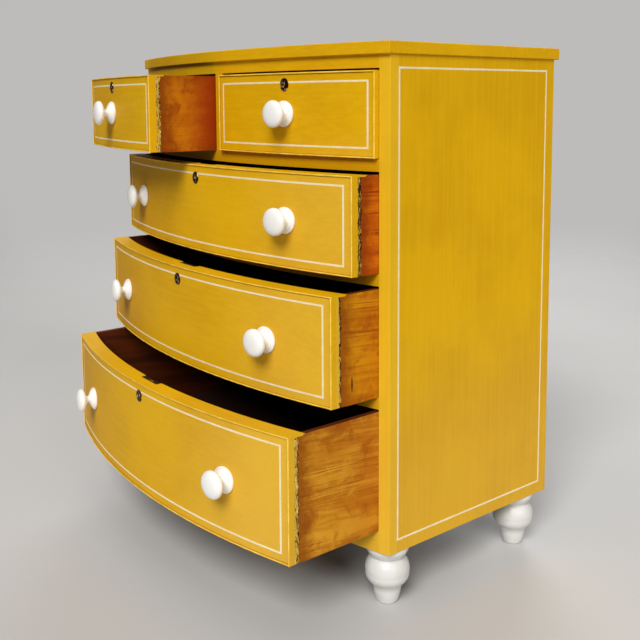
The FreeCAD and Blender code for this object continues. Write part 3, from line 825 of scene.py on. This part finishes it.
# %% The torn edge of the paint
def torn_edge(finish, drawer, edge, splinters):
    """Splinters of dark wood, worn paint and pale ground, by steps of one noise. Another noise
    gives the cracks between them, where it is near its middle, and the dark ends."""
    bare, frayed = drawer["bare"], drawer["frayed"]
    dark_wood, worn_paint, pale_ground = (0.050, 0.014, 0.002), (0.63, 0.39, 0.045), (0.85, 0.68, 0.30)
    dark_gap = (0.020, 0.006, 0.001)
    cracks = finish.noise(160, 330, 60, detail=4.0, rough=0.7, bent=1.0)
    torn = finish.mix(splinters.step(bare - 0.02, bare + 0.02), dark_wood, worn_paint)
    torn = finish.mix(splinters.step(bare + 0.14, bare + 0.17), torn, pale_ground)
    wide = 0.25 * (bare - 0.38)
    torn = finish.mix((cracks - 0.5).abs().step(wide, 0.4 * wide), torn, dark_gap)
    last = edge.step(frayed - 2.8 * mm, frayed - 1.0 * mm)
    return finish.mix(last * cracks.step(0.44, 0.50), torn, dark_gap)


frays = [round(1000 * (drawer["frayed"] - drawer["solid"]), 1) for drawer in drawers.values()]
print("the paint frays over", frays, "mm")

# %% The whole paint on a front
joint_inset = (3.4 * mm, 5.0 * mm)


def front_paint(finish, behind, inset, round_end, splinters):
    """Colour, roughness and height of the mustard on a front: painted shade to the left, a
    painted sheen to the right, painted shade where the bead meets the panel, and thin paint
    round the end. Each is a step of one length, times a strength."""
    tone, rough, height = mustard(finish, "x")
    below_top = finish.z.step(0.93, 0.80)
    # Painted shade: darker towards the left, below the short drawers.
    tone = finish.mix(finish.x.step(0.0, -0.38) * below_top * 0.4, tone, (0.45, 0.19, 0.001))
    # Painted sheen: paler towards the right, below the short drawers.
    tone = finish.mix(finish.x.step(0.10, 0.38) * below_top * 0.18, tone, (0.90, 0.60, 0.12))
    # Painted shade: darker in the corner where the bead meets the panel.
    joint_shade = inset.step(joint_inset[1], joint_inset[0]) * behind.step(1.2 * mm, 0.4 * mm)
    tone = finish.mix(joint_shade * 0.5, tone, (0.22, 0.095, 0.002))
    tone = finish.mix(round_end * splinters.step(0.42, 0.58) * 0.6, tone, (0.52, 0.34, 0.045))
    return tone, rough, height


print("bead and panel meet", round(1000 * middle_and_half(joint_inset)[0], 1), "mm inside the outline")

# %% Paint, torn edge and pine on each drawer
face_depth = 10.8 * mm


def drawer_wood(name, drawer):
    """Paint to the depth called solid, and over all of the face to the depth of its beads,
    splinters to the depth called frayed, pine behind that, and dark wood inside. Two noises
    shift the depth, which makes the edges ragged."""
    finish = Finish(name)
    solid, frayed = drawer["solid"], drawer["frayed"]
    behind = behind_bow(finish, drawer)
    from_end, from_edge = inside_outline(finish, drawer)
    outside = from_end.step(1.6 * mm, 0.6 * mm)
    ragged = finish.noise(230, 260, 150, detail=4.0, rough=0.7)
    slow = finish.noise(20, 20, 34)
    edge = behind + (ragged - 0.5) * (10 * mm) + (slow - 0.5) * (7 * mm)
    splinters = finish.noise(190, 260, 75, detail=4.0, rough=0.7, bent=1.2)

    # The pine here carries its age and the painted shade towards the case.
    aged, bands, lines = aged_and_shaded_pine(finish, drawer, behind, from_edge)
    aged = split_open(finish, drawer, behind, ragged, aged)
    frayed_part = edge.step(frayed + 1.5 * mm, frayed - 0.5 * mm)
    aged = finish.mix(frayed_part, aged, torn_edge(finish, drawer, edge, splinters))
    brown, black = (0.140, 0.026, 0.004), (0.040, 0.008, 0.002)
    inside = finish.mix(bands.step(0.36, 0.66) * 0.6 + lines * 0.3, brown, black)
    wood = finish.mix(outside, inside, aged)

    inset = from_end.least(from_edge)
    round_end = outside * behind.step(solid - 8 * mm, solid)
    coat, coat_rough, coat_height = front_paint(finish, behind, inset, round_end, splinters)
    face = behind.step(face_depth + 0.4 * mm, face_depth - 0.4 * mm)
    skin = (edge.step(solid + 0.4 * mm, solid - 0.4 * mm) * outside).most(face)
    rough = skin * coat_rough + (1 - skin) * (0.60 + lines * 0.25)
    height = skin * (0.9 + coat_height * 0.15) + (1 - skin) * (0.2 - lines * 0.2)
    return finish.shade(Base_Color=finish.mix(skin, wood, coat), Roughness=rough,
                        Specular_IOR_Level=paint_gloss, Normal=finish.bump(height, 0.4 * mm, 0.6))


for name, drawer in drawers.items():
    wood = drawer_wood("wood of " + name.replace("_", " "), drawer)
    paint_over([name + "_front", name + "_sides"], wood)

# %% [markdown]
# ## Inside and behind
#
# Nobody polished what is out of sight. The backs and bottoms of the drawers are nearly black
# with age. Runners, guides and blocks are rough pine, and the back boards are wide softwood
# that has gone grey brown, each with its own tone and a few knots. One recipe could serve
# them all, but the drawers need no knots, so they have a shorter one of their own.

# %% Dark boards in the drawers
def dark_boards(name, light, dark):
    """Bare boards between two dark tones: fine noise along X for the fibre and wide noise for
    the stains, and a little dust on their roughness."""
    finish = Finish(name)
    fibre = finish.grain_noise("x", 14, 420, detail=3.0, rough=0.6)
    cloud = finish.even_noise(6, detail=4.0)
    tone = finish.mix(fibre * 0.6 + cloud * 0.4, light, dark)
    return finish.shade(Base_Color=tone, Roughness=0.68 + cloud * 0.2,
                        Normal=finish.bump(fibre, 0.2 * mm, 0.6))


dark_pine = dark_boards("aged drawer boards", (0.070, 0.016, 0.004), (0.024, 0.006, 0.002))
for name in drawers:
    paint_over([name + "_back", name + "_bottom"], dark_pine)

# %% Rough pine for the carcass and the back boards
first_board_x, board_width = -0.45, 0.12857


def rough_pine(name, grain):
    """Bands and fibre from noise along the grain, a chance tone for each board from the whole
    number of board widths before it, and knots near the middles of wide cells."""
    finish = Finish(name)
    pale, brown, fibre_tone = (0.36, 0.215, 0.105), (0.205, 0.108, 0.050), (0.13, 0.070, 0.035)
    grey, knot_tone = (0.24, 0.165, 0.10), (0.060, 0.026, 0.012)
    rings = finish.grain_noise(grain, 3.0, 60, detail=3.0, rough=0.55)
    fibre = finish.grain_noise(grain, 10, 700, detail=3.0, rough=0.6)
    boards_before = ((finish.x - first_board_x) * (1 / board_width)).floor()
    board = finish.number("ShaderNodeTexWhiteNoise", {"noise_dimensions": "1D"}, {"W": boards_before})
    cells = finish.number("ShaderNodeTexVoronoi", {}, {
        "Vector": finish.stretch(4.6, 4.6, 2.3), "Scale": 1.0}, "Distance")
    tone = finish.mix(rings.step(0.35, 0.68), pale, brown)
    tone = finish.mix(fibre.step(0.45, 0.75) * 0.5, tone, fibre_tone)
    tone = finish.mix(board * 0.35, tone, grey)
    tone = finish.mix(cells.step(0.085, 0.03) * 0.85, tone, knot_tone)
    height = rings * 0.4 + fibre * 0.6
    return finish.shade(Base_Color=tone, Roughness=0.74 + fibre * 0.15,
                        Normal=finish.bump(height, 0.4 * mm, 0.8))


paint_over(["back_boards"], rough_pine("grey brown back boards", "z"))
carcass_pine = rough_pine("rough carcass pine", "y")
paint_over(["runners", "centre_guide", "drawer_stops", "foot_blocks"], carcass_pine)

# %% [markdown]
# ## White enamel and cream lines
#
# The knobs have a thick white enamel and the feet a duller one, smooth but for the faint
# rings of the lathe. The rings could be cut into the mesh, but they are finer than its
# faces, so a wave of the length along the profile tips the light instead. The lines are the
# same cream all over, only thicker and thinner where the brush was loaded.

# %% Enamel
ring_wave = 5200            # radians to a metre of the profile, which is a ring every 1.2 mm


def enamel(name, colour, shadow, ring_depth, gloss):
    """Gloss paint over turned wood: rings are a sine of the length along the profile."""
    finish = Finish(name)
    turning = finish.number("ShaderNodeAttribute", {"attribute_name": "turning"}, {}, "Fac")
    rings = (turning * ring_wave).sin() * 0.5 + 0.5
    brushed = finish.even_noise(90, detail=3.0)
    cloud = finish.even_noise(24)
    tone = finish.mix(cloud.step(0.40, 0.75) * 0.5, colour, shadow)
    height = rings * 0.25 + brushed * 0.75
    return finish.shade(Base_Color=tone, Roughness=gloss + brushed * 0.10, Coat_Weight=0.3,
                        Coat_Roughness=gloss, Normal=finish.bump(height, ring_depth, 0.6))


white = enamel("white enamel", (0.90, 0.885, 0.84), (0.84, 0.815, 0.74), 0.12 * mm, 0.20)
feet_white = enamel("off-white enamel on the feet", (0.685, 0.675, 0.64), (0.625, 0.60, 0.55),
                    0.20 * mm, 0.36)
turned_feet.data.materials.append(feet_white)
for drawer in drawers.values():
    drawer["knobs"].data.materials.append(white)

# %% Cream lining paint
cream = Finish("cream lining paint")
loaded = cream.even_noise(60, detail=3.0)
cream_tone = cream.mix(loaded.step(0.35, 0.7), (0.86, 0.72, 0.42), (0.90, 0.79, 0.53))
lining = cream.shade(Base_Color=cream_tone, Roughness=0.42 + loaded * 0.1,
                     Normal=cream.bump(loaded, 0.1 * mm, 0.5))
for stripe in side_stripes + [drawer["stripe"] for drawer in drawers.values()]:
    stripe.data.materials.append(lining)

# %% [markdown]
# ## Brass and iron
#
# The plates and the bolts are brass that was never cleaned, bright only on its highest
# places, and the locks are dark iron with a bloom of rust. A plain metal with one colour
# would look new, so noise mixes a dull tone with a bright or a rusty one, and the roughness
# follows the same noise.

# %% Uncleaned brass
brass = Finish("uncleaned brass")
tarnish = brass.even_noise(420, detail=4.0, rough=0.6)
worn = brass.even_noise(170)
brass_tone = brass.mix(worn.step(0.57, 0.62), (0.034, 0.011, 0.004), (0.85, 0.55, 0.24))
brass_tone = brass.mix(tarnish.step(0.5, 0.7) * 0.5, brass_tone, (0.020, 0.007, 0.003))
old_brass = brass.shade(Base_Color=brass_tone, Metallic=0.9, Roughness=0.18 + tarnish * 0.22,
                        Normal=brass.bump(tarnish, 0.12 * mm, 0.6))
for name, drawer in drawers.items():
    drawer["plate"].data.materials.append(old_brass)
    if name + "_lock_bolt" in nodes:
        paint_over([name + "_lock_bolt"], old_brass)

# %% Dark iron
iron = Finish("dark iron")
rust = iron.even_noise(160, detail=4.0, rough=0.65)
iron_tone = iron.mix(rust.step(0.50, 0.68), (0.022, 0.017, 0.013), (0.050, 0.020, 0.009))
dark_iron = iron.shade(Base_Color=iron_tone, Metallic=0.75, Roughness=0.48 + rust * 0.3,
                       Normal=iron.bump(rust, 0.3 * mm, 0.7))
paint_over([name + "_lock" for name in drawers], dark_iron)

# %% [markdown]
# ## The floor
#
# A plain pale floor carries the chest's shadow. A square sheet would end in a hard line, so
# this one is round, wide and see-through towards its rim: far from the chest it thins out
# and passes into the pale room without an edge. Its rings lie closer near the chest.

# %% Lay the floor
def floor_sheet(reach, rings, segments):
    """A round sheet that looks up: the point at angle a and share s lies at reach times s
    squared from the middle, and one face closes the middle."""
    angle = np.linspace(0, 2 * math.pi, segments, endpoint=False)
    share = np.linspace(0.02, 1, rings)[:, None] ** 2 * reach
    flat = np.zeros((rings, segments))
    points = np.stack([share * np.cos(angle), share * np.sin(angle), flat], -1).reshape(-1, 3)
    middle = np.arange(segments)[None, :]
    return points, [grid_faces(rings, segments, close_columns=True)[:, ::-1], middle]


fade_from, fade_to = 1.3, 5.5
floor = make_object("pale_floor", *floor_sheet(reach=30.0, rings=24, segments=96), smooth=False)
ground = Finish("pale floor")
dapple = ground.even_noise(1.5, detail=4.0)
ground_tone = ground.mix(dapple, (0.57, 0.56, 0.545), (0.52, 0.51, 0.495))
away = (ground.x * ground.x + ground.y * ground.y).root()
floor_paint = ground.shade(Base_Color=ground_tone, Roughness=0.55 + dapple * 0.1,
                           Alpha=away.step(fade_to, fade_from))
floor.data.materials.append(floor_paint)

# %% [markdown]
# ## The lights
#
# Lamps near the chest would leave bright patches on the floor, so all four lights are suns,
# which light it evenly, and wide ones, whose shadows are soft. The high front light from the
# right does most of the work: it lights the front and the side and draws the shadows under
# the drawers and knobs. The broad side light fills the side, the overhead light the top, and
# the light behind shows the back boards from there.

# %% Hang the lights
chest_middle, lamp_distance = Vector((0, -0.05, 0.55)), 3.2
lights = {                      # azimuth and elevation in degrees, strength, width in degrees
    "broad side light": (85, 24, 0.82, 28),
    "high front light": (36, 42, 2.86, 28),
    "overhead light": (0, 84, 0.4, 40),
    "light behind": (224, 28, 0.9, 35)}


def wide_sun(name, azimuth, elevation, strength, width):
    """A sun at an azimuth a from -Y towards +X and an elevation e, as seen from the chest: it
    stands along (sin a cos e, -cos a cos e, sin e)."""
    a, e = math.radians(azimuth), math.radians(elevation)
    way = Vector((math.sin(a) * math.cos(e), -math.cos(a) * math.cos(e), math.sin(e)))
    place = chest_middle + lamp_distance * way
    data = bpy.data.lights.new(name, "SUN")
    data.energy, data.angle = strength, math.radians(width)
    light = bpy.data.objects.new(name, data)
    aim = (chest_middle - place).to_track_quat("-Z", "Y").to_matrix().to_4x4()
    light.matrix_world = Matrix.Translation(place) @ aim
    bpy.context.scene.collection.objects.link(light)
    print(name, "of strength", strength)


for name, row in lights.items():
    wide_sun(name, *row)

# %% [markdown]
# ## The room
#
# A dim room, paler low down so that it meets the floor, with a bright part beyond the left
# of the chest. A picture of a room could stand there, but it would show in the brass and the
# enamel. Instead the strength of the light depends on the way one looks: how far it lies
# along upright, and how far along the direction of the bright part.

# %% A dim room, paler low down and beyond the chest
world = bpy.data.worlds.new("pale room")
world.use_nodes = True
bpy.context.scene.world = world
room = Recipe(world.node_tree)
toward = room.node("ShaderNodeTexCoord", {}, {}).outputs["Generated"]
low_strength, high_strength = 0.16, 0.03
bright_part, bright_times = (-0.78, 0.62, 0.0), 3.2


def along(direction):
    """How far the way one looks lies along a direction: the dot product of the two."""
    inputs = {0: toward, 1: direction}
    return room.number("ShaderNodeVectorMath", {"operation": "DOT_PRODUCT"}, inputs, "Value")


level = low_strength + along((0, 0, 1)).step(0.08, 0.50) * (high_strength - low_strength)
beyond = 1.0 + along(bright_part).step(0.84, 0.94) * (bright_times - 1.0)
backdrop = world.node_tree.nodes["Background"]
room.feed(backdrop.inputs["Color"], (1.0, 0.985, 0.97))
room.feed(backdrop.inputs["Strength"], level * beyond)
bpy.context.scene.view_settings.view_transform = "Standard"
print("the room has", len(world.node_tree.nodes), "nodes")

# %% [markdown]
# ## The camera
#
# It stands well to the right and looks slightly down. Tipped further down, it would make the
# upright edges lean together. Instead its lens is shifted down, which brings the feet into
# the picture and keeps those edges nearly parallel.

# %% Set up the camera
picture_size, sensor_width = 640, 36.0
focal_length, straight_ahead_row = 883.3, 193.1          # in the picture's own dots
camera_place = Vector((1.6209, -1.1573, 0.9658))
camera_turn, camera_down, camera_roll = 51.991, 6.034, -0.293


def look(place, azimuth, down, roll):
    """Camera matrix: azimuth turns from +Y towards -X, down tips the view, roll turns it."""
    a, e, r = (math.radians(v) for v in (azimuth, down, roll))
    ahead = Vector((-math.sin(a) * math.cos(e), math.cos(a) * math.cos(e), -math.sin(e)))
    right = Vector((math.cos(a), math.sin(a), 0))
    up = right.cross(ahead)
    right, up = right * math.cos(r) + up * math.sin(r), up * math.cos(r) - right * math.sin(r)
    turn = Matrix((right, up, -ahead)).transposed().to_4x4()
    return Matrix.Translation(place) @ turn


camera_data = bpy.data.cameras.new("camera")
camera_data.sensor_width = sensor_width
camera_data.lens = focal_length / picture_size * sensor_width
camera_data.shift_y = (straight_ahead_row - picture_size / 2) / picture_size
camera_data.clip_start, camera_data.clip_end = 0.05, 100
camera = bpy.data.objects.new("camera", camera_data)
camera.matrix_world = look(camera_place, camera_turn, camera_down, camera_roll)
bpy.context.scene.collection.objects.link(camera)
bpy.context.scene.camera = camera
print("the camera stands", round(camera_place.length, 2), "m from the frame's origin")
